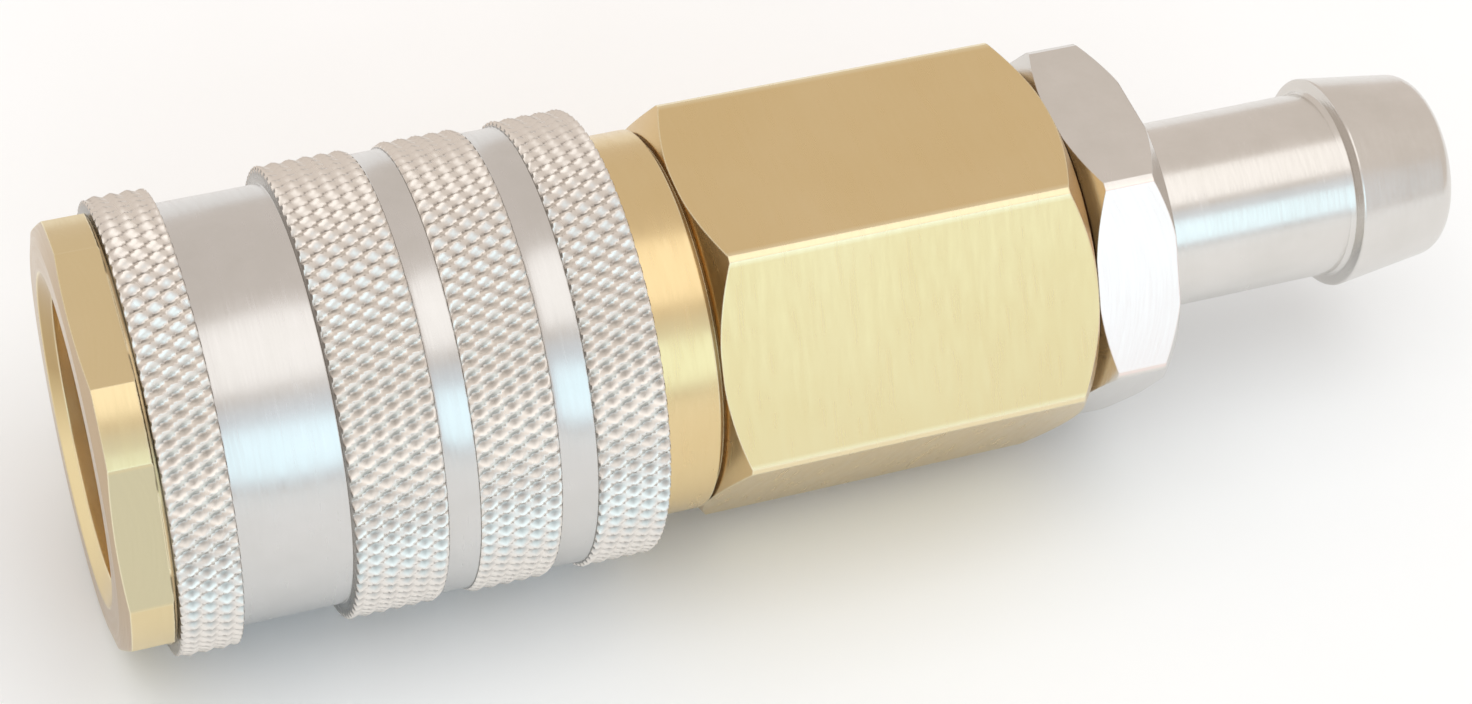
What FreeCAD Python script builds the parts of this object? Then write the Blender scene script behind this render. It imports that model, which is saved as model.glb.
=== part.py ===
import FreeCAD, Part
import math
import os

# Quick disconnect coupler. Millimetres. The coupler's axis is X: the plug
# socket opens at x = 0 and the hose tail points towards +X. Hexagon flats of
# the rear body face +Z and -Z.

# --- socket body: front ring, tube with ball pockets, valve seat -------------
RING_END = 3.05
RING_ACROSS_FLATS = 26.0
RING_CORNER_R = 13.85
RING_TURN_DEG = -10.0
RING_FACE_R = 12.2
RING_CHAMFER = 0.4
RING_BACK_CHAMFER = 0.1
STOP_R = 13.3
STOP_END = 3.28
MOUTH_R = 10.4
MOUTH_CHAMFER = 0.7
LEAD_IN_R = 9.3
LEAD_IN_END = 2.0
PLUG_BORE_START = 3.0
PLUG_BORE_R = 8.1
BALL_RELIEF_R = 8.3
BALL_RELIEF_START = 8.0
BALL_RELIEF_END = 12.4
NOSE_STEP = 13.7
NOSE_BORE_R = 6.9
NOSE_BORE_END = 28.7
PLUG_SEAL_START = 15.1
PLUG_SEAL_END = 17.5
PLUG_SEAL_GROOVE_R = 8.6
TUBE_R = 10.2
SHOULDER_R = 10.75
SHOULDER_START = 26.9
SHOULDER_END = 28.9
GUIDE_BORE_R = 5.6
SEAT_X = 37.7
NOSE_R = 9.2
BODY_SEAL_START = 35.7
BODY_SEAL_END = 37.2
BODY_SEAL_GROOVE_R = 8.1

# Fine thread between the socket body and the hexagonal body.
FRONT_THREAD_R = 10.0
FRONT_THREAD_ROOT_R = 9.4
FRONT_THREAD_PITCH = 1.0
FRONT_THREAD_START = 29.5
FRONT_THREAD_TURNS = 5
THREAD_CLEARANCE = 0.04

# --- locking balls ----------------------------------------------------------
BALL_COUNT = 8
BALL_R = 2.0
BALL_X = 10.2
BALL_CENTRE_R = 9.1
POCKET_CLEARANCE = 0.03

# --- locking sleeve ---------------------------------------------------------
SLEEVE_START = 3.3
SLEEVE_END = 33.4
CROWN_R = 14.25
GRIP_GROOVE_R = 13.15
NARROW_GROOVE_R = 13.87
BANDS = ((3.3, 7.1), (13.9, 19.55), (21.55, 26.56), (28.86, 33.4))
BAND_EDGE_R = 0.3
LIP_R = 10.28
LIP_END = 4.5
RELEASE_R = 12.1
SLEEVE_TRAVEL = 3.5
BALL_PER_SLEEVE = 0.27
RAMP_CLEARANCE = 0.03
LAND_END = 12.2
SLEEVE_BORE_R = 12.28
SLEEVE_MOUTH_CHAMFER = 0.35

# --- sleeve spring and its washer --------------------------------------------
WASHER_START = 12.22
WASHER_END = 13.2
WASHER_IN_R = 10.4
WASHER_OUT_R = 12.1
SLEEVE_SPRING_R = 11.4
SLEEVE_SPRING_WIRE_R = 0.45
SLEEVE_SPRING_TURNS = 6.5

# --- hexagonal body ---------------------------------------------------------
COLLAR_START = SHOULDER_END
COLLAR_R = 12.2
COLLAR_END = 37.2
COLLAR_GROOVE_R = 11.6
HEX_START = 37.6
HEX_START_R = 12.0
HEX_FULL = 38.8
HEX_FULL_END = 61.0
HEX_END = 62.4
HEX_ACROSS_FLATS = 24.0
HEX_CORNER_R = 13.74
HEX_END_R = 12.0
CHAMBER_FRONT_R = 9.25
CHAMBER_FRONT_START = 35.1
CHAMBER_STEP = 38.5
CHAMBER_R = 9.0
CHAMBER_END = 52.7
RIB_R = 7.2
RIB_END = 54.3
SEAL_SEAT_R = 9.6
SEAL_SEAT_X = 61.3

# --- hose tail --------------------------------------------------------------
REAR_THREAD_R = 8.33
REAR_THREAD_ROOT_R = 7.48
REAR_THREAD_PITCH = 1.337
REAR_THREAD_START = 55.1
REAR_THREAD_TURNS = 4
TAIL_START = 54.6
TAIL_UNDERCUT_R = 7.4
FLANGE_START = 62.85
FLANGE_FRONT_CHAMFER = 0.95
FLANGE_END = 68.35
FLANGE_CHAMFER_START = 67.1
FLANGE_ACROSS_FLATS = 22.0
FLANGE_CORNER_R = 12.55
FLANGE_START_R = 11.1
FLANGE_END_R = 11.2
NECK_R = 6.13
BARB_START = 83.65
BARB_R = 7.05
BARB_END_R = 6.05
BARB_END_ROUND_R = 1.2
TAIL_END = 91.0
TAIL_BORE_R = 4.5

# --- check valve ------------------------------------------------------------
VALVE_FRONT = 24.7
WING_R = 5.52
WING_THICKNESS = 1.3
BOSS_START = 36.9
BOSS_R = 5.3
HEAD_START = 39.1
HEAD_END = 41.1
HEAD_R = 7.0
STEM_R = 1.6
STEM_END = 55.7
GUIDE_START = 50.7
GUIDE_END = 52.7
GUIDE_R = 8.95
GUIDE_HOLE_R = 1.66
GUIDE_PORT_R = 1.6
GUIDE_PORT_CIRCLE_R = 5.3
GUIDE_PORTS = 6
VALVE_SPRING_R = 2.9
VALVE_SPRING_WIRE_R = 0.3
VALVE_SPRING_TURNS = 7.5

ORIGIN = FreeCAD.Vector(0, 0, 0)
AXIS = FreeCAD.Vector(1, 0, 0)


def revolved(profile):
    """Turn a closed profile of (x, radius) corners about the X axis."""
    corners = [FreeCAD.Vector(x, 0, r) for x, r in profile]
    face = Part.Face(Part.makePolygon(corners + corners[:1]))
    return face.revolve(ORIGIN, AXIS, 360)


def ring(x_start, x_end, r_in, r_out):
    return revolved([(x_start, r_in), (x_end, r_in), (x_end, r_out), (x_start, r_out)])


def rod(x_start, x_end, radius):
    return Part.makeCylinder(radius, x_end - x_start, FreeCAD.Vector(x_start, 0, 0), AXIS)


def hexagon(x_start, x_end, across_flats, turn_deg=0.0):
    """Hexagonal bar with two corners on the Y axis, turned about X."""
    corner_r = across_flats / math.sqrt(3)
    corners = []
    for i in range(6):
        angle = math.radians(60 * i + turn_deg)
        corners.append(
            FreeCAD.Vector(x_start, -corner_r * math.cos(angle), corner_r * math.sin(angle))
        )
    face = Part.Face(Part.makePolygon(corners + corners[:1]))
    return face.extrude(FreeCAD.Vector(x_end - x_start, 0, 0))


def thread_profile(x_start, turns, pitch, crest_r, root_r):
    """Zigzag of V grooves, one per turn, drawn as closed rings."""
    points = []
    for i in range(turns):
        x = x_start + i * pitch
        points.append((x, crest_r))
        points.append((x + pitch / 2, root_r))
    points.append((x_start + turns * pitch, crest_r))
    return points


def rounded(solid, radius, places):
    """Round the circular edges that stand at the given (x, radius) places."""
    edges = []
    for edge in solid.Edges:
        if not isinstance(edge.Curve, Part.Circle):
            continue
        centre_x = edge.Curve.Center.x
        for x, r in places:
            if abs(centre_x - x) < 1e-4 and abs(edge.Curve.Radius - r) < 1e-4:
                edges.append(edge)
    return solid.makeFillet(radius, edges)


def o_ring(x_centre, ring_r, section_r):
    return Part.makeTorus(ring_r, section_r, FreeCAD.Vector(x_centre, 0, 0), AXIS)


def coil_spring(x_start, x_end, coil_r, wire_r, turns):
    """Round-wire compression spring with one closed, ground coil at each end."""
    first = x_start + wire_r * 0.6
    last = x_end - wire_r * 0.6
    closed_rise = 2.1 * wire_r
    open_rise = (last - first - 2 * closed_rise) / (turns - 2)
    steps_per_turn = 16
    points = []
    for i in range(int(turns * steps_per_turn) + 1):
        turn = i / steps_per_turn
        if turn <= 1:
            x = first + closed_rise * turn
        elif turn <= turns - 1:
            x = first + closed_rise + open_rise * (turn - 1)
        else:
            x = last - closed_rise * (turns - turn)
        angle = 2 * math.pi * turn
        points.append(FreeCAD.Vector(x, coil_r * math.cos(angle), coil_r * math.sin(angle)))
    curve = Part.BSplineCurve()
    curve.interpolate(points)
    path = Part.Wire(curve.toShape())
    section = Part.Wire(Part.makeCircle(wire_r, points[0], curve.tangent(0)[0]))
    wire = path.makePipeShell([section], True, True)
    slot = ring(x_start, x_end, coil_r - 3 * wire_r, coil_r + 3 * wire_r)
    return wire.common(slot)


def ball_direction(index):
    """Outward direction of one ball, the first one pointing up."""
    angle = 2 * math.pi * index / BALL_COUNT
    return FreeCAD.Vector(0, -math.sin(angle), math.cos(angle))


def socket_body():
    profile = [
        (0, MOUTH_R),
        (MOUTH_CHAMFER, LEAD_IN_R),
        (LEAD_IN_END, LEAD_IN_R),
        (PLUG_BORE_START, PLUG_BORE_R),
        (BALL_RELIEF_START, PLUG_BORE_R),
        (BALL_RELIEF_START + 0.2, BALL_RELIEF_R),
        (BALL_RELIEF_END - 0.2, BALL_RELIEF_R),
        (BALL_RELIEF_END, PLUG_BORE_R),
        (NOSE_STEP - 0.6, PLUG_BORE_R),
        (NOSE_STEP + 0.6, NOSE_BORE_R),
        (PLUG_SEAL_START, NOSE_BORE_R),
        (PLUG_SEAL_START, PLUG_SEAL_GROOVE_R),
        (PLUG_SEAL_END, PLUG_SEAL_GROOVE_R),
        (PLUG_SEAL_END, NOSE_BORE_R),
        (NOSE_BORE_END, NOSE_BORE_R),
        (NOSE_BORE_END + 0.75, GUIDE_BORE_R),
        (SEAT_X - 0.3, GUIDE_BORE_R),
        (SEAT_X, GUIDE_BORE_R + 0.3),
        (SEAT_X, NOSE_R - 0.3),
        (SEAT_X - 0.3, NOSE_R),
        (BODY_SEAL_END, NOSE_R),
        (BODY_SEAL_END, BODY_SEAL_GROOVE_R),
        (BODY_SEAL_START, BODY_SEAL_GROOVE_R),
        (BODY_SEAL_START, NOSE_R),
    ]
    thread = thread_profile(
        FRONT_THREAD_START,
        FRONT_THREAD_TURNS,
        FRONT_THREAD_PITCH,
        FRONT_THREAD_R,
        FRONT_THREAD_ROOT_R,
    )
    profile += [(thread[-1][0] + 0.4, NOSE_R)]
    profile += thread[::-1]
    profile += [
        (FRONT_THREAD_START - 0.2, FRONT_THREAD_ROOT_R),
        (SHOULDER_END, FRONT_THREAD_ROOT_R),
        (SHOULDER_END, SHOULDER_R),
        (SHOULDER_START + 0.2, SHOULDER_R),
        (SHOULDER_START - 0.35, TUBE_R),
        (STOP_END, TUBE_R),
        (STOP_END, STOP_R),
        (RING_END, STOP_R),
        (RING_END, RING_CORNER_R - RING_BACK_CHAMFER),
        (RING_END - RING_BACK_CHAMFER, RING_CORNER_R),
        (RING_CHAMFER, RING_CORNER_R),
        (0, RING_FACE_R),
    ]
    body = revolved(profile)
    hex_bar = hexagon(-1, RING_END, RING_ACROSS_FLATS, RING_TURN_DEG)
    hex_bar = hex_bar.fuse(rod(RING_END, SEAT_X + 1, STOP_R + 1))
    body = body.common(hex_bar)
    for i in range(BALL_COUNT):
        outward = ball_direction(i)
        centre = outward * BALL_CENTRE_R + FreeCAD.Vector(BALL_X, 0, 0)
        pocket_r = BALL_R + POCKET_CLEARANCE
        pocket = Part.makeCylinder(pocket_r, 2.0, centre, outward)
        body = body.cut(pocket.fuse(Part.makeSphere(pocket_r, centre)))
    return body


def sleeve_outline():
    """Outside of the sleeve, from its rear end to its front end."""
    outline = []
    grooves = [NARROW_GROOVE_R, NARROW_GROOVE_R, GRIP_GROOVE_R]
    for (start, end), groove_r in zip(BANDS[:0:-1], grooves):
        outline += [(end, CROWN_R), (start, CROWN_R), (start, groove_r)]
        before = BANDS[BANDS.index((start, end)) - 1]
        outline.append((before[1], groove_r))
    outline += [(BANDS[0][1], CROWN_R), (BANDS[0][0], CROWN_R)]
    return outline


def sleeve():
    # The release ramp is parallel to the path of the ball centres as seen
    # from the sleeve, one ball radius further out, so it stays tangent.
    slope = BALL_PER_SLEEVE
    length = math.hypot(1, slope)
    reach = BALL_R + RAMP_CLEARANCE
    land_x = BALL_X + reach * slope / length
    land_r = BALL_CENTRE_R + reach / length
    ramp_top_x = land_x - (RELEASE_R - land_r) / slope
    profile = [
        (SLEEVE_START, LIP_R + 0.3),
        (SLEEVE_START + 0.3, LIP_R),
        (LIP_END, LIP_R),
        (LIP_END, RELEASE_R),
        (ramp_top_x, RELEASE_R),
        (land_x, land_r),
        (LAND_END, land_r),
        (LAND_END, SLEEVE_BORE_R),
        (SLEEVE_END - SLEEVE_MOUTH_CHAMFER, SLEEVE_BORE_R),
        (SLEEVE_END, SLEEVE_BORE_R + SLEEVE_MOUTH_CHAMFER),
    ]
    body = revolved(profile + sleeve_outline())
    corners = [(x, CROWN_R) for band in BANDS for x in band]
    return rounded(body, BAND_EDGE_R, corners)


def sleeve_washer():
    return ring(WASHER_START, WASHER_END, WASHER_IN_R, WASHER_OUT_R)


def sleeve_spring():
    return coil_spring(
        WASHER_END, COLLAR_START, SLEEVE_SPRING_R, SLEEVE_SPRING_WIRE_R, SLEEVE_SPRING_TURNS
    )


def ball(index):
    centre = ball_direction(index) * BALL_CENTRE_R + FreeCAD.Vector(BALL_X, 0, 0)
    return Part.makeSphere(BALL_R, centre)


def hex_body():
    front = thread_profile(
        FRONT_THREAD_START,
        FRONT_THREAD_TURNS,
        FRONT_THREAD_PITCH,
        FRONT_THREAD_R + THREAD_CLEARANCE,
        FRONT_THREAD_ROOT_R + THREAD_CLEARANCE,
    )
    rear = thread_profile(
        REAR_THREAD_START,
        REAR_THREAD_TURNS,
        REAR_THREAD_PITCH,
        REAR_THREAD_R + THREAD_CLEARANCE,
        REAR_THREAD_ROOT_R + THREAD_CLEARANCE,
    )
    profile = [(COLLAR_START, FRONT_THREAD_R + 0.2)]
    profile += front
    profile += [
        (CHAMBER_FRONT_START, CHAMBER_FRONT_R),
        (CHAMBER_STEP, CHAMBER_FRONT_R),
        (CHAMBER_STEP + 0.25, CHAMBER_R),
        (CHAMBER_END, CHAMBER_R),
        (CHAMBER_END, RIB_R),
        (RIB_END, RIB_R),
        (RIB_END, REAR_THREAD_R + THREAD_CLEARANCE),
    ]
    profile += rear
    profile += [
        (SEAL_SEAT_X, REAR_THREAD_R + THREAD_CLEARANCE),
        (SEAL_SEAT_X, SEAL_SEAT_R),
        (HEX_END, SEAL_SEAT_R),
        (HEX_END, HEX_END_R),
        (HEX_FULL_END, HEX_CORNER_R),
        (HEX_FULL, HEX_CORNER_R),
        (HEX_START, HEX_START_R),
        (HEX_START, COLLAR_GROOVE_R),
        (COLLAR_END, COLLAR_GROOVE_R),
        (COLLAR_END, COLLAR_R),
        (COLLAR_START + 0.3, COLLAR_R),
        (COLLAR_START, COLLAR_R - 0.3),
    ]
    hex_bar = hexagon(COLLAR_START - 1, HEX_END + 1, HEX_ACROSS_FLATS)
    hex_bar = hex_bar.fuse(rod(COLLAR_START - 1, HEX_START, COLLAR_R + 1))
    return revolved(profile).common(hex_bar)


def hose_tail():
    thread = thread_profile(
        REAR_THREAD_START,
        REAR_THREAD_TURNS,
        REAR_THREAD_PITCH,
        REAR_THREAD_R,
        REAR_THREAD_ROOT_R,
    )
    profile = [
        (TAIL_END, TAIL_BORE_R + 0.3),
        (TAIL_END - 0.3, TAIL_BORE_R),
        (TAIL_START + 0.5, TAIL_BORE_R),
        (TAIL_START, TAIL_BORE_R + 0.5),
        (TAIL_START, REAR_THREAD_ROOT_R),
    ]
    profile += thread
    profile += [
        (thread[-1][0] + 0.4, TAIL_UNDERCUT_R),
        (FLANGE_START, TAIL_UNDERCUT_R),
        (FLANGE_START, FLANGE_START_R),
        (FLANGE_START + FLANGE_FRONT_CHAMFER, FLANGE_CORNER_R),
        (FLANGE_CHAMFER_START, FLANGE_CORNER_R),
        (FLANGE_END, FLANGE_END_R),
        (FLANGE_END, NECK_R),
        (BARB_START - 0.5, NECK_R),
        (BARB_START - 0.2, NECK_R + 0.15),
        (BARB_START, BARB_R),
        (TAIL_END, BARB_END_R),
    ]
    body = revolved(profile)
    hex_bar = hexagon(FLANGE_START, FLANGE_END, FLANGE_ACROSS_FLATS)
    hex_bar = hex_bar.fuse(rod(TAIL_START - 1, TAIL_END + 1, HEX_END_R - 2.5))
    body = body.common(hex_bar)
    body = rounded(body, BARB_END_ROUND_R, [(TAIL_END, BARB_END_R)])
    return rounded(body, 0.12, [(BARB_START, BARB_R)])


def plug_seal():
    section_r = 0.9
    return o_ring((PLUG_SEAL_START + PLUG_SEAL_END) / 2, PLUG_SEAL_GROOVE_R - section_r - 0.02, section_r)


def body_seal():
    section_r = 0.55
    return o_ring((BODY_SEAL_START + BODY_SEAL_END) / 2, BODY_SEAL_GROOVE_R + section_r + 0.02, section_r)


def tail_seal():
    return ring(SEAL_SEAT_X, FLANGE_START, REAR_THREAD_R + 0.1, SEAL_SEAT_R - 0.1)


def valve_poppet():
    head = revolved(
        [
            (HEAD_START, 0),
            (HEAD_START, HEAD_R - 0.3),
            (HEAD_START + 0.3, HEAD_R),
            (HEAD_END - 0.5, HEAD_R),
            (HEAD_END, HEAD_R - 0.5),
            (HEAD_END, STEM_R),
            (STEM_END - 0.4, STEM_R),
            (STEM_END, STEM_R - 0.4),
            (STEM_END, 0),
        ]
    )
    boss = rod(BOSS_START, HEAD_START, BOSS_R)
    core = rod(VALVE_FRONT, BOSS_START, STEM_R)
    wings = []
    for angle in (45, 135):
        wing = Part.makeBox(
            BOSS_START - VALVE_FRONT,
            2 * WING_R + 2,
            WING_THICKNESS,
            FreeCAD.Vector(VALVE_FRONT, -WING_R - 1, -WING_THICKNESS / 2),
        )
        wing.rotate(ORIGIN, AXIS, angle)
        wings.append(wing)
    stem = core.fuse(wings).common(rod(VALVE_FRONT, BOSS_START, WING_R))
    return head.fuse([boss, stem]).removeSplitter()


def valve_seal():
    section_r = (HEAD_START - SEAT_X) / 2 - 0.02
    return o_ring((HEAD_START + SEAT_X) / 2, BOSS_R + section_r + 0.05, section_r)


def valve_spring():
    return coil_spring(
        HEAD_END, GUIDE_START, VALVE_SPRING_R, VALVE_SPRING_WIRE_R, VALVE_SPRING_TURNS
    )


def valve_guide():
    disc = ring(GUIDE_START, GUIDE_END, GUIDE_HOLE_R, GUIDE_R)
    for i in range(GUIDE_PORTS):
        angle = 2 * math.pi * i / GUIDE_PORTS
        centre_y = GUIDE_PORT_CIRCLE_R * math.cos(angle)
        centre_z = GUIDE_PORT_CIRCLE_R * math.sin(angle)
        start = FreeCAD.Vector(GUIDE_START - 1, centre_y, centre_z)
        disc = disc.cut(Part.makeCylinder(GUIDE_PORT_R, GUIDE_END - GUIDE_START + 2, start, AXIS))
    return disc


os.makedirs("parts", exist_ok=True)
nodes = {
    "socket_body": socket_body(),
    "hex_body": hex_body(),
    "hose_tail": hose_tail(),
    "sleeve": sleeve(),
    "sleeve_washer": sleeve_washer(),
    "sleeve_spring": sleeve_spring(),
    "plug_seal": plug_seal(),
    "body_seal": body_seal(),
    "tail_seal": tail_seal(),
    "valve_poppet": valve_poppet(),
    "valve_seal": valve_seal(),
    "valve_spring": valve_spring(),
    "valve_guide": valve_guide(),
}
for i in range(BALL_COUNT):
    nodes["ball_%d" % (i + 1)] = ball(i)
for name, shape in nodes.items():
    shape.exportStep("parts/%s.step" % name)
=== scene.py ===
import math

import bpy
import numpy as np
from mathutils import Matrix, Vector


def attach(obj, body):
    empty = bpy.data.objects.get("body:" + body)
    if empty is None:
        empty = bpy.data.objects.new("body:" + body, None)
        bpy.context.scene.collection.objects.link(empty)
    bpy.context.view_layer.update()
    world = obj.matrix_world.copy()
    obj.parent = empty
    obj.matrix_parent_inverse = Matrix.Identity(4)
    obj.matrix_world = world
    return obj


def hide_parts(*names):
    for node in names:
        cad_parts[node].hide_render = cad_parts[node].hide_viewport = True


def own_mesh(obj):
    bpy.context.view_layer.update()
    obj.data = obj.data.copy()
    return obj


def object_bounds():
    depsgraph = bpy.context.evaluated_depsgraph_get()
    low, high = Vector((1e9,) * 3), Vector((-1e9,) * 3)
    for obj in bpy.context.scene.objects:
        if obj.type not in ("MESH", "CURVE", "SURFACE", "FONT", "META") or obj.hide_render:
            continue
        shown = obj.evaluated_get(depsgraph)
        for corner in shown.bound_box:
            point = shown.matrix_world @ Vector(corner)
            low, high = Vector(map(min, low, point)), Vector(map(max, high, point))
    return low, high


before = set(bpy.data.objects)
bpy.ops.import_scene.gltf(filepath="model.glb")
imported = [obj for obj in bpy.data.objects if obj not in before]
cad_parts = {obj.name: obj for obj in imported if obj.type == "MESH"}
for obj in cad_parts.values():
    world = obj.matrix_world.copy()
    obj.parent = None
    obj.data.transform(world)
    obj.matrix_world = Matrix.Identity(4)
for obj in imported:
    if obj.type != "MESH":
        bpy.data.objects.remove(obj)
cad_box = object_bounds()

# The coupler lies along X, with its mouth at x = 0. The CAD solids keep their shapes and get
# procedural materials. Only the sleeve is replaced, by a mesh with real knurling, and the two
# springs, by copies that ride rigidly on the body.

MM = 0.001

MARK_DEPTH = 0.02 * MM  # of tool marks in plate and brass

# --- the sleeve: places along X and radii, in millimetres ---------------------

CROWN_R = 14.25
GRIP_GROOVE_R = 13.15
NARROW_GROOVE_R = 13.87
GROOVE_FILLET = 0.12
BANDS = ((3.3, 7.1), (13.9, 19.55), (21.55, 26.56), (28.86, 33.4))
BAND_EDGE = 0.26

# Outline of the hollow inside, from the rear end to the front end.
BORE = (
    (33.4, 12.63), (33.05, 12.28), (12.2, 12.28), (12.2, 11.06),
    (10.73, 11.06), (6.88, 12.1), (4.5, 12.1), (4.5, 10.28), (3.6, 10.28), (3.3, 10.58),
)

# The knurl is two crossing sets of grooves.
KNURL_TEETH = 87  # grooves of each set around the sleeve
KNURL_PITCH = 1.0  # along X, from one row of diamonds to the next
KNURL_DEPTH = 0.54
KNURL_SHADE_DRAG = 0.13  # in teeth: the painted shade of a pit reaches up one of its flanks
KNURL_PHASE = 0.07  # along X, of one row where grooves cross
KNURL_TURN = math.radians(-0.74)
COLUMNS_PER_TOOTH = 8
ROWS_PER_PITCH = 4
SHARP_EDGE = math.radians(38)

# --- colours ------------------------------------------------------------------

BRASS = (0.760, 0.600, 0.340)
BRASS_DEEP = (0.720, 0.550, 0.285)
# Painted highlight: the bright cream of the brass edges and of the hexagon's corner rims.
BRASS_EDGE_HIGHLIGHT = (0.95, 0.89, 0.66)
# Painted shade on the hexagon's end chamfers, the faces along the axis.
HEXAGON_CHAMFER_SHADE = (0.66, 0.47, 0.23)
# Painted shade in the groove at the hexagon's collar.
COLLAR_GROOVE_SHADE = (0.30, 0.19, 0.08)
SOCKET_BRASS = (0.755, 0.625, 0.38)
SOCKET_BRASS_DEEP = (0.705, 0.57, 0.32)
# Painted shade on one side flat of the ring.
RING_FLAT_SHADE = (0.60, 0.54, 0.36)
# Painted shade on the ring's faces along the axis.
RING_FACE_SHADE = (0.48, 0.34, 0.19)
# Painted shade on the ring's rear shoulder, in the gap before the sleeve.
RING_SHOULDER_SHADE = (0.55, 0.42, 0.24)
# Painted light and shade inside the mouth: lit below, shaded above.
MOUTH_LIT = (0.82, 0.67, 0.38)
MOUTH_SHADED = (0.48, 0.34, 0.16)
# Painted shade in the socket's bore.
SOCKET_BORE_SHADE = (0.72, 0.56, 0.34)
TAIL_PLATE = (0.735, 0.712, 0.685)
# Painted highlight on one side flat of the flange.
TAIL_FLAT_HIGHLIGHT = (0.875, 0.765, 0.725)
SLEEVE_PLATE = (0.68, 0.67, 0.66)
KNURL_PLATE = (0.81, 0.77, 0.725)
WASHER_STEEL = (0.62, 0.62, 0.63)
SPRING_STEEL = (0.52, 0.52, 0.54)
BALL_STEEL = (0.84, 0.84, 0.85)
RUBBER_DARK = (0.012, 0.012, 0.013)
RUBBER_LIGHT = (0.03, 0.03, 0.032)
FIBRE_DARK = (0.26, 0.09, 0.05)
FIBRE_LIGHT = (0.40, 0.16, 0.09)
PAPER_DARK = (0.93, 0.945, 0.96)
PAPER_LIGHT = (0.945, 0.96, 0.98)
WORLD_COLOUR = (0.80, 0.727, 0.667)


# --- shader helpers -----------------------------------------------------------

def scaled(colour, red, green, blue):
    """The colour with each channel times its share."""
    return (colour[0] * red, colour[1] * green, colour[2] * blue)


class Shader:
    """A small wrapper that adds nodes to one material and joins them."""

    def __init__(self, name):
        self.material = bpy.data.materials.new(name)
        self.material.use_nodes = True
        self.tree = self.material.node_tree
        self.tree.nodes.clear()
        self.bsdf = self.node("ShaderNodeBsdfPrincipled")
        output = self.node("ShaderNodeOutputMaterial")
        self.join(self.bsdf.outputs["BSDF"], output.inputs["Surface"])
        coordinates = self.node("ShaderNodeTexCoord")
        self.place = coordinates.outputs["Object"]
        self.normal = coordinates.outputs["Normal"]

    def node(self, kind, **settings):
        made = self.tree.nodes.new(kind)
        for key, value in settings.items():
            setattr(made, key, value)
        return made

    def join(self, source, target):
        """Feed an input with an output, a number or a colour."""
        if isinstance(source, (int, float)):
            target.default_value = source
        elif isinstance(source, tuple):
            target.default_value = (*source, 1.0)
        else:
            self.tree.links.new(source, target)

    def surface(self, name, source):
        """Feed the surface's input of that name."""
        self.join(source, self.bsdf.inputs[name])

    def fed(self, name):
        """The output that feeds the surface's input of that name."""
        return self.bsdf.inputs[name].links[0].from_socket

    def math(self, operation, first, second=0.0, clamp=False):
        made = self.node("ShaderNodeMath", operation=operation, use_clamp=clamp)
        for value, socket in zip((first, second), made.inputs):
            self.join(value, socket)
        return made.outputs[0]

    def add(self, first, second):
        return self.math("ADD", first, second)

    def times(self, first, *others):
        for other in others:
            first = self.math("MULTIPLY", first, other)
        return first

    def split(self, vector):
        made = self.node("ShaderNodeSeparateXYZ")
        self.join(vector, made.inputs[0])
        return made.outputs

    def combine(self, x, y, z):
        made = self.node("ShaderNodeCombineXYZ")
        for value, socket in zip((x, y, z), made.inputs):
            self.join(value, socket)
        return made.outputs[0]

    def noise(self, vector, scale, detail, roughness):
        made = self.node("ShaderNodeTexNoise")
        self.join(vector, made.inputs["Vector"])
        self.join(scale, made.inputs["Scale"])
        self.join(detail, made.inputs["Detail"])
        self.join(roughness, made.inputs["Roughness"])
        return made.outputs["Fac"]

    def ramp(self, value, low, high, out_low=0.0, out_high=1.0):
        """From out_low where value is low or less, to out_high where it is high or more."""
        made = self.node("ShaderNodeMapRange")
        self.join(value, made.inputs["Value"])
        self.join(low, made.inputs["From Min"])
        self.join(high, made.inputs["From Max"])
        self.join(out_low, made.inputs["To Min"])
        self.join(out_high, made.inputs["To Max"])
        return made.outputs["Result"]

    def fall(self, value, low, high):
        """From 1 where value is low or less, to 0 where it is high or more."""
        return self.ramp(value, low, high, 1.0, 0.0)

    def mix(self, factor, first, second):
        made = self.node("ShaderNodeMix", data_type="RGBA")
        self.join(factor, made.inputs["Factor"])
        self.join(first, made.inputs["A"])
        self.join(second, made.inputs["B"])
        return made.outputs["Result"]

    def bump(self, height, strength, distance, normal=None):
        made = self.node("ShaderNodeBump")
        self.join(strength, made.inputs["Strength"])
        self.join(distance, made.inputs["Distance"])
        self.join(height, made.inputs["Height"])
        if normal is not None:
            self.join(normal, made.inputs["Normal"])
        return made.outputs["Normal"]

    def around_axis(self):
        """Coordinates about the X axis: x, radius, and y and z over the radius."""
        x, y, z = self.split(self.place)
        radius = self.math("SQRT", self.add(self.times(y, y), self.times(z, z)))
        safe = self.math("MAXIMUM", radius, 0.01 * MM)
        return x, radius, self.math("DIVIDE", y, safe), self.math("DIVIDE", z, safe)

    def end_facing(self):
        """How squarely a surface faces along the axis: 0 for a cylinder, 1 for an end face."""
        return self.math("ABSOLUTE", self.split(self.normal)[0])


# --- marks and masks ----------------------------------------------------------

def turned_marks(shader, fineness, stretch):
    """Noise stretched along the turning direction, as a lathe tool leaves it."""
    x, radius, side, up = shader.around_axis()
    across = shader.add(shader.times(x, fineness), shader.times(radius, fineness))
    vector = shader.combine(across, shader.times(side, stretch), shader.times(up, stretch))
    return shader.noise(vector, scale=1.0, detail=4.0, roughness=0.65)


def brushed_marks(shader, fineness, stretch):
    """Noise stretched across the axis, as brushing across a bar's flats leaves it."""
    x, y, z = shader.split(shader.place)
    vector = shader.combine(
        shader.times(x, fineness), shader.times(y, stretch), shader.times(z, stretch)
    )
    return shader.noise(vector, scale=1.0, detail=3.0, roughness=0.6)


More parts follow.
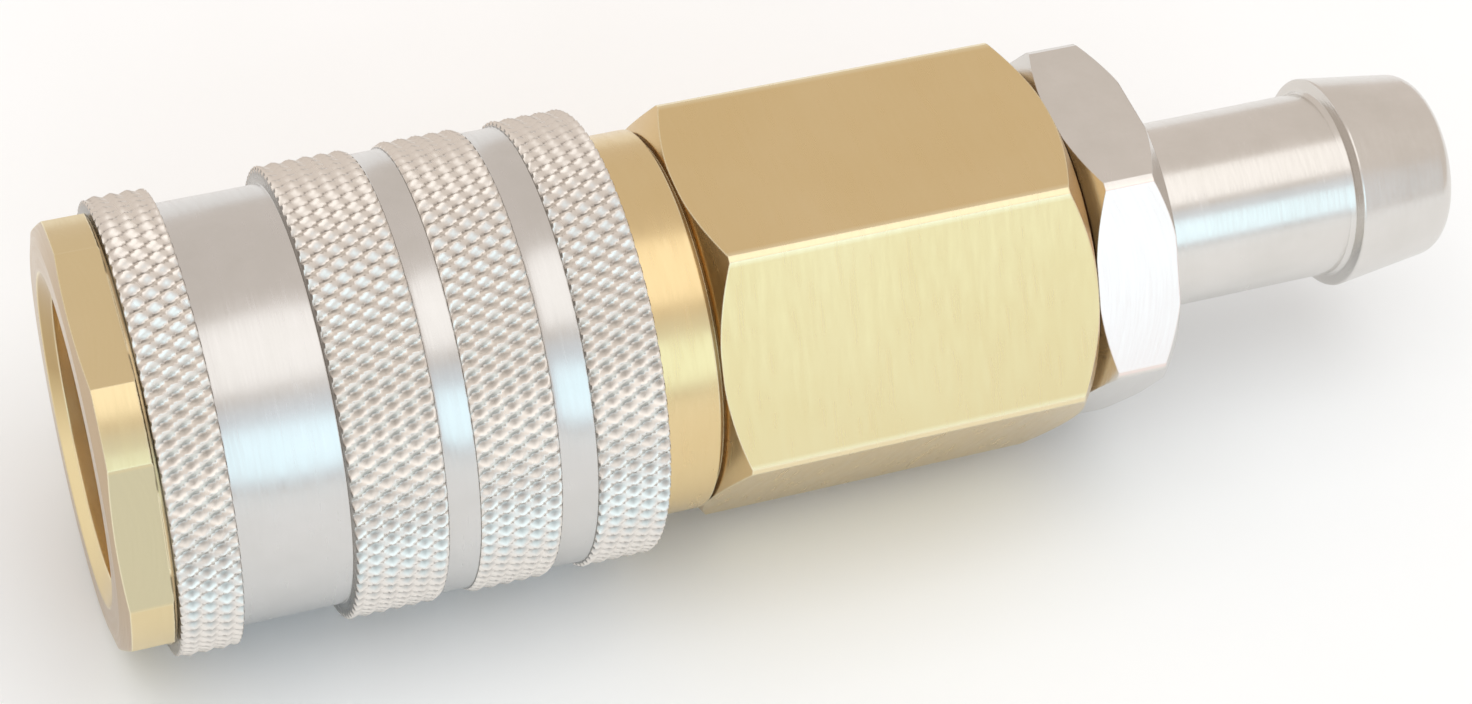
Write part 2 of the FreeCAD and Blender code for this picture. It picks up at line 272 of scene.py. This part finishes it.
def rounded_edges(shader, radius, gain):
    """The normal of slightly rounded edges, and a mask: 1 on edges, 0 elsewhere."""
    bevel = shader.node("ShaderNodeBevel", samples=6)
    shader.join(radius, bevel.inputs["Radius"])
    geometry = shader.node("ShaderNodeNewGeometry")
    dot = shader.node("ShaderNodeVectorMath", operation="DOT_PRODUCT")
    shader.join(bevel.outputs["Normal"], dot.inputs[0])
    shader.join(geometry.outputs["Normal"], dot.inputs[1])
    away = shader.math("SUBTRACT", 1.0, dot.outputs["Value"])
    return bevel.outputs["Normal"], shader.math("MULTIPLY", away, gain, clamp=True)


def side_flat(shader, top, rim):
    """1 on one flat of the -Y side, 0 elsewhere.

    The flat runs from the axis' height up to top, a height over the radius, and lies outside rim,
    a radius. Both are given as the start and the end of a soft step.
    """
    _, radius, side, up = shader.around_axis()
    return shader.times(
        shader.ramp(up, -0.01, 0.01),
        shader.fall(up, *top),
        shader.fall(side, -0.45, -0.35),
        shader.ramp(radius, *rim),
    )


# --- plated steel -------------------------------------------------------------

def plated(name, tint, roughness, mark_strength):
    """Bright plated steel with turning marks, slightly cloudy plating and soft edges."""
    shader = Shader(name)
    marks = turned_marks(shader, fineness=5200.0, stretch=3.0)
    cloud = shader.noise(shader.place, scale=260.0, detail=4.0, roughness=0.6)
    colour = shader.mix(shader.ramp(cloud, 0.3, 0.7), scaled(tint, 0.93, 0.93, 0.92), tint)
    turned = shader.ramp(marks, 0.25, 0.75, roughness * 0.75, roughness * 1.3)
    cloudy = shader.ramp(cloud, 0.35, 0.75, 0.0, 0.05)
    edge_normal, _ = rounded_edges(shader, radius=0.12 * MM, gain=4.0)
    shader.surface("Base Color", colour)
    shader.surface("Roughness", shader.add(turned, cloudy))
    shader.surface("Normal", shader.bump(marks, mark_strength, MARK_DEPTH, edge_normal))
    shader.surface("Metallic", 1.0)
    return shader


def flanged_plate(name, tint, flat_highlight, roughness):
    """Plated steel; one side flat of the flange is painted paler, as a highlight."""
    shader = plated(name, tint, roughness, mark_strength=0.25)
    flat = side_flat(shader, top=(0.86, 0.87), rim=(8.0 * MM, 9.0 * MM))
    flat = shader.times(flat, shader.fall(shader.end_facing(), 0.3, 0.5))
    # Painted highlight: the side flat is paler.
    shader.surface("Base Color", shader.mix(flat, shader.fed("Base Color"), flat_highlight))
    return shader


def knurled_plate(name, tint, knurl_tint, roughness):
    """Plated steel; the knurled bands are paler and warmer, with painted shade in the pits and on the
    end faces of the bands.
    """
    shader = plated(name, tint, roughness, mark_strength=0.25)
    band = shader.node("ShaderNodeAttribute", attribute_name="knurl_band").outputs["Fac"]
    pit = shader.node("ShaderNodeAttribute", attribute_name="knurl_pit_shade").outputs["Fac"]
    pit_shade_noise = shader.noise(shader.place, scale=900.0, detail=3.0, roughness=0.6)
    # Painted shade in the pits, varied a little by noise.
    pit_shade = shader.times(shader.ramp(pit, 0.4, 0.9), shader.ramp(pit_shade_noise, 0.2, 0.8, 0.75, 1.0))
    knurl = shader.mix(pit_shade, knurl_tint, scaled(knurl_tint, 0.44, 0.44, 0.44))
    colour = shader.mix(band, shader.fed("Base Color"), knurl)
    # Painted shade on the end faces of the bands.
    wall_shade = shader.ramp(shader.end_facing(), 0.6, 0.85)
    shader.surface("Base Color", shader.mix(wall_shade, colour, scaled(tint, 0.5, 0.48, 0.45)))
    shader.surface("Roughness", shader.add(shader.fed("Roughness"), shader.times(band, 0.08)))
    return shader


# --- brass --------------------------------------------------------------------

def brass(name, drawn, roughness, mark_strength, tint=BRASS, deep=BRASS_DEEP, details=None):
    """Brass with rounded edges painted bright as a highlight: turned, or when drawn brushed across its
    flats.
    """
    shader = Shader(name)
    if drawn:
        marks = brushed_marks(shader, fineness=2200.0, stretch=280.0)
    else:
        marks = turned_marks(shader, fineness=4200.0, stretch=2.5)
    cloud = shader.noise(shader.place, scale=120.0, detail=3.0, roughness=0.55)
    cloudy = shader.ramp(cloud, 0.3, 0.7, 0.0, 0.55)
    streaky = shader.ramp(marks, 0.3, 0.7, 0.0, 0.25)
    colour = shader.mix(shader.add(cloudy, streaky), tint, deep)
    if details:
        colour = details(shader, colour)
    edge_normal, edges = rounded_edges(shader, radius=0.14 * MM, gain=12.0)
    # Painted highlight: the rounded edges are mixed towards a bright cream.
    shader.surface("Base Color", shader.mix(shader.times(edges, 0.85), colour, BRASS_EDGE_HIGHLIGHT))
    shader.surface("Roughness", shader.ramp(marks, 0.25, 0.75, roughness * 0.8, roughness * 1.25))
    shader.surface("Normal", shader.bump(marks, mark_strength, MARK_DEPTH, edge_normal))
    shader.surface("Metallic", 1.0)
    return shader


def hexagon_details(shader, colour):
    """Painted highlight as bright rims along the hexagon's corners; painted shade on the end chamfers
    and as a dark groove at the collar.
    """
    radius = shader.around_axis()[1]
    # Painted highlight: bright rims near the hexagon's corners.
    rim = shader.ramp(radius, 13.56 * MM, 13.73 * MM, 0.0, 0.45)
    colour = shader.mix(rim, colour, BRASS_EDGE_HIGHLIGHT)
    # Painted shade: faces along the axis, the end chamfers, are darker.
    colour = shader.mix(shader.ramp(shader.end_facing(), 0.5, 0.75), colour, HEXAGON_CHAMFER_SHADE)
    # Painted shade: below 12 mm radius, the groove at the collar, goes dark brown.
    return shader.mix(shader.fall(radius, 11.7 * MM, 12.0 * MM), colour, COLLAR_GROOVE_SHADE)


def ring_details(shader, colour):
    """Painted shade on a darker side flat, a deeper front face, a browner bore and the rear shoulder;
    the mouth painted lit below and shaded above.
    """
    x, radius, _, up = shader.around_axis()
    flat = side_flat(shader, top=(0.63, 0.65), rim=(12.5 * MM, 12.8 * MM))
    # Painted shade: one side flat is darker.
    colour = shader.mix(flat, colour, RING_FLAT_SHADE)
    # Painted shade: faces along the axis are deeper brown.
    colour = shader.mix(shader.ramp(shader.end_facing(), 0.85, 0.95), colour, RING_FACE_SHADE)
    # Painted light and shade: the mouth's cone is pale below and dark above.
    mouth_light_and_shade = shader.mix(shader.fall(up, -0.78, -0.35), MOUTH_SHADED, MOUTH_LIT)
    mouth = shader.times(
        shader.ramp(x, 0.03 * MM, 0.1 * MM), shader.fall(radius, 10.4 * MM, 10.6 * MM)
    )
    colour = shader.mix(mouth, colour, mouth_light_and_shade)
    # Painted shade: the bore is browner.
    inside = shader.times(
        shader.ramp(x, 0.6 * MM, 1.0 * MM), shader.fall(radius, 9.3 * MM, 9.6 * MM)
    )
    colour = shader.mix(inside, colour, SOCKET_BORE_SHADE)
    # Painted shade on the rear shoulder.
    shoulder_shade = shader.times(
        shader.ramp(x, 2.98 * MM, 3.08 * MM), shader.ramp(radius, 11.8 * MM, 12.0 * MM)
    )
    return shader.mix(shoulder_shade, colour, RING_SHOULDER_SHADE)


# --- seals --------------------------------------------------------------------

def seal_material(name, dark, light, roughness):
    """Matte rubber or fibre with fine grain."""
    shader = Shader(name)
    grain = shader.noise(shader.place, scale=3200.0, detail=4.0, roughness=0.7)
    cloud = shader.noise(shader.place, scale=300.0, detail=3.0, roughness=0.5)
    tone = shader.times(shader.add(grain, cloud), 0.5)
    shader.surface("Base Color", shader.mix(shader.ramp(tone, 0.35, 0.65), dark, light))
    shader.surface("Roughness", shader.ramp(grain, 0.3, 0.7, roughness * 0.85, roughness * 1.1))
    shader.surface("Normal", shader.bump(grain, strength=0.3, distance=0.03 * MM))
    return shader


# --- the knurled sleeve -------------------------------------------------------

def band_rows(start, end):
    """Places along X of one band's rows: its rounded edges and the knurl's grid between them."""
    step = KNURL_PITCH / ROWS_PER_PITCH
    rows = {start, start + BAND_EDGE * 0.3, start + BAND_EDGE * 0.65, end}
    rows |= {end - BAND_EDGE * 0.3, end - BAND_EDGE * 0.65}
    first = math.ceil((start + BAND_EDGE * 0.8 - KNURL_PHASE) / step)
    last = math.floor((end - BAND_EDGE * 0.8 - KNURL_PHASE) / step)
    rows |= {KNURL_PHASE + i * step for i in range(first, last + 1)}
    return sorted(rows)


def band_crest(x, start, end):
    """Radius of the band's plain outline at x, with rounded edges."""
    near = min(x - start, end - x)
    if near >= BAND_EDGE:
        return CROWN_R
    drop = BAND_EDGE - math.sqrt(BAND_EDGE**2 - (BAND_EDGE - near) ** 2)
    return CROWN_R - drop


def groove_rows(start, end, root):
    """Places along X and radii of the plain groove between two bands, with filleted corners."""
    fillet = GROOVE_FILLET
    return (
        (start, root + fillet),
        (start + fillet * 0.3, root + fillet * 0.3),
        (start + fillet, root),
        (end - fillet, root),
        (end - fillet * 0.3, root + fillet * 0.3),
        (end, root + fillet),
    )


def knurl_grooves(turns, along):
    """How near, 0 to 1, each point is to the middle of a groove in each of the two crossing sets."""
    near_u = 1.0 - 2.0 * np.abs(turns + along - np.round(turns + along))
    near_v = 1.0 - 2.0 * np.abs(turns - along - np.round(turns - along))
    return near_u, near_v


def knurl_cut(turns, along):
    """Depth of the cut, 0 to 1: the second set of grooves is deeper, so the ridges beside it run on."""
    near_u, near_v = knurl_grooves(turns, along)
    diamonds = np.maximum(0.6 * near_u, near_v)
    return 0.4 * diamonds + 0.1 * np.minimum(near_u, near_v) + 0.1 * near_u + 0.4 * near_v


def knurl_pit_shade(turns, along):
    """Painted shade, 0 to 1, gathered where two grooves cross."""
    near_u, near_v = knurl_grooves(turns, along)
    return 0.6 * np.minimum(near_u, near_v) + 0.1 * near_u + 0.3 * near_v


def sleeve_rows():
    """The sleeve's rows around its closed section, each as x, radii, painted pit shade and band or not.
    """
    columns = KNURL_TEETH * COLUMNS_PER_TOOTH
    turns = np.arange(columns) / COLUMNS_PER_TOOTH
    grooves = (GRIP_GROOVE_R, NARROW_GROOVE_R, NARROW_GROOVE_R)
    rows = []
    for i, (start, end) in enumerate(BANDS):
        for x in band_rows(start, end):
            along = (x - KNURL_PHASE) / (2 * KNURL_PITCH)
            crest = CROWN_R - KNURL_DEPTH * knurl_cut(turns, along)
            radii = np.minimum(crest, band_crest(x, start, end))
            rows.append((x, radii, knurl_pit_shade(turns + KNURL_SHADE_DRAG, along), 1.0))
        if i < len(grooves):
            plain = groove_rows(end, BANDS[i + 1][0], grooves[i])
        else:
            plain = BORE
        for x, radius in plain:
            rows.append((x, np.full(columns, radius), np.zeros(columns), 0.0))
    return rows


def knurled_sleeve():
    """The sleeve as one closed mesh: bore, plain grooves and bands of raised diamonds."""
    rows = sleeve_rows()
    count = len(rows)
    columns = KNURL_TEETH * COLUMNS_PER_TOOTH
    angle = KNURL_TURN + np.arange(columns) * 2 * math.pi / columns
    points = np.zeros((count, columns, 3))
    pits = np.zeros((count, columns))
    bands = np.zeros((count, columns))
    for i, (x, radii, pit, on_band) in enumerate(rows):
        points[i, :, 0] = x
        points[i, :, 1] = -radii * np.cos(angle)
        points[i, :, 2] = radii * np.sin(angle)
        pits[i] = pit
        bands[i] = on_band
    faces = []
    for i in range(count):
        this_row = i * columns
        next_row = ((i + 1) % count) * columns
        for j in range(columns):
            k = (j + 1) % columns
            faces.append((this_row + j, this_row + k, next_row + k, next_row + j))
    mesh = bpy.data.meshes.new("sleeve_knurled")
    mesh.from_pydata((points.reshape(-1, 3) * MM).tolist(), [], faces)
    for name, values in (("knurl_pit_shade", pits), ("knurl_band", bands)):
        attribute = mesh.attributes.new(name, "FLOAT", "POINT")
        attribute.data.foreach_set("value", values.reshape(-1).astype(np.float32))
    mesh.shade_smooth()
    mesh.set_sharp_from_angle(angle=SHARP_EDGE)
    mesh.validate()
    return mesh


# --- dressing the pieces ------------------------------------------------------

def add_object(name, data):
    made = bpy.data.objects.new(name, data)
    bpy.context.scene.collection.objects.link(made)
    return made


def dress(piece, finish):
    """Give a piece that finish and no other."""
    piece.data.materials.clear()
    piece.data.materials.append(finish.material)


def shortening_spring(node, finish):
    """A coil spring copy, carried rigidly by the body; the CAD spring is hidden."""
    spring = add_object(node + "_coil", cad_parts[node].data.copy())
    dress(spring, finish)
    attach(spring, "body")
    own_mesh(spring)
    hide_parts(node)


brass_body = brass(
    "brass_body", drawn=True, roughness=0.24, mark_strength=0.08, details=hexagon_details
)
brass_socket = brass(
    "brass_socket", drawn=False, roughness=0.22, mark_strength=0.2,
    tint=SOCKET_BRASS, deep=SOCKET_BRASS_DEEP, details=ring_details,
)
brass_valve = brass("brass_valve", drawn=False, roughness=0.22, mark_strength=0.3)
plated_tail = flanged_plate("plated_tail", TAIL_PLATE, TAIL_FLAT_HIGHLIGHT, roughness=0.2)
plated_sleeve = knurled_plate("plated_sleeve", SLEEVE_PLATE, KNURL_PLATE, roughness=0.21)
washer_steel = plated("washer_steel", WASHER_STEEL, roughness=0.3, mark_strength=0.4)
spring_steel = plated("spring_steel", SPRING_STEEL, roughness=0.28, mark_strength=0.5)
ball_steel = plated("ball_steel", BALL_STEEL, roughness=0.07, mark_strength=0.05)
seal_rubber = seal_material("seal_rubber", RUBBER_DARK, RUBBER_LIGHT, roughness=0.55)
seal_fibre = seal_material("seal_fibre", FIBRE_DARK, FIBRE_LIGHT, roughness=0.7)

finishes = {
    "hex_body": brass_body,
    "socket_body": brass_socket,
    "hose_tail": plated_tail,
    "sleeve_washer": washer_steel,
    "valve_poppet": brass_valve,
    "valve_guide": brass_valve,
    "plug_seal": seal_rubber,
    "body_seal": seal_rubber,
    "valve_seal": seal_rubber,
    "tail_seal": seal_fibre,
}
for number in range(1, 9):
    finishes["ball_%d" % number] = ball_steel
for node, finish in finishes.items():
    dress(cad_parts[node], finish)

shortening_spring("sleeve_spring", spring_steel)
shortening_spring("valve_spring", spring_steel)

sleeve = add_object("sleeve_knurled", knurled_sleeve())
dress(sleeve, plated_sleeve)
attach(sleeve, "sleeve")
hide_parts("sleeve")

# --- studio: white paper, soft lights and an even warm world ------------------

FLOOR_HALF = 3.0
FLOOR_GAP = 0.05 * MM
COUPLER_MIDDLE = Vector((44.7 * MM, 0, 0))


def paper_floor():
    """A large square of matte white paper just below the coupler."""
    z = cad_box[0][2] - FLOOR_GAP
    signs = ((-1, -1), (1, -1), (1, 1), (-1, 1))
    mesh = bpy.data.meshes.new("floor")
    mesh.from_pydata([(x * FLOOR_HALF, y * FLOOR_HALF, z) for x, y in signs], [], [(0, 1, 2, 3)])
    paper = Shader("floor_paper")
    speck = paper.noise(paper.place, scale=40.0, detail=3.0, roughness=0.5)
    paper.surface("Base Color", paper.mix(paper.ramp(speck, 0.3, 0.7), PAPER_DARK, PAPER_LIGHT))
    paper.surface("Roughness", 0.9)
    paper.surface("Specular IOR Level", 0.1)
    mesh.materials.append(paper.material)
    return add_object("floor", mesh)


def softbox(name, elevation, distance, width, height, radiance, colour, in_reflections=True):
    """A soft rectangular light on the -Y side that faces the coupler's middle from an elevation."""
    light = bpy.data.lights.new(name, "AREA")
    light.shape = "RECTANGLE"
    light.size = width
    light.size_y = height
    light.energy = radiance * math.pi * width * height
    light.color = colour
    lamp = add_object(name, light)
    up = math.radians(elevation)
    away = Vector((0.0, -math.cos(up), math.sin(up)))
    lamp.location = COUPLER_MIDDLE + away * distance
    lamp.rotation_euler = (COUPLER_MIDDLE - lamp.location).to_track_quat("-Z", "Y").to_euler()
    lamp.visible_camera = False
    lamp.visible_glossy = in_reflections


floor = paper_floor()

softbox(
    "overhead", elevation=76.0, distance=0.9, width=1.2, height=0.66,
    radiance=0.66, colour=(0.94, 0.98, 1.0),
)
softbox(
    "front", elevation=22.0, distance=0.9, width=1.1, height=0.46,
    radiance=0.72, colour=(0.56, 0.90, 1.0),
)
softbox(
    "fill", elevation=25.0, distance=1.4, width=2.6, height=1.2,
    radiance=0.26, colour=(0.2, 0.6, 1.0),
)
softbox(
    "ceiling", elevation=88.0, distance=1.6, width=1.8, height=1.8,
    radiance=0.55, colour=(0.93, 0.98, 1.0), in_reflections=False,
)

world = bpy.data.worlds.new("studio")
bpy.context.scene.world = world
world.use_nodes = True
background = world.node_tree.nodes["Background"]
background.inputs["Color"].default_value = (*WORLD_COLOUR, 1.0)
background.inputs["Strength"].default_value = 1.0
bpy.context.scene.view_settings.view_transform = "Standard"

# --- camera: above the front side, turned towards the tail and a little rolled -

CAMERA_PLACE = (-0.01628, -0.13583, 0.15712)
CAMERA_TURN = math.radians(-23.5236)
CAMERA_TILT = math.radians(42.4574)
CAMERA_ROLL = math.radians(5.8262)

camera_data = bpy.data.cameras.new("camera")
camera_data.lens = 82.71
camera_data.sensor_width = 36.0
camera_data.clip_start = 10 * MM
camera = add_object("camera", camera_data)
camera.matrix_world = (
    Matrix.Translation(CAMERA_PLACE)
    @ Matrix.Rotation(CAMERA_TURN, 4, "Z")
    @ Matrix.Rotation(CAMERA_TILT, 4, "X")
    @ Matrix.Rotation(CAMERA_ROLL, 4, "Z")
)
bpy.context.scene.camera = camera
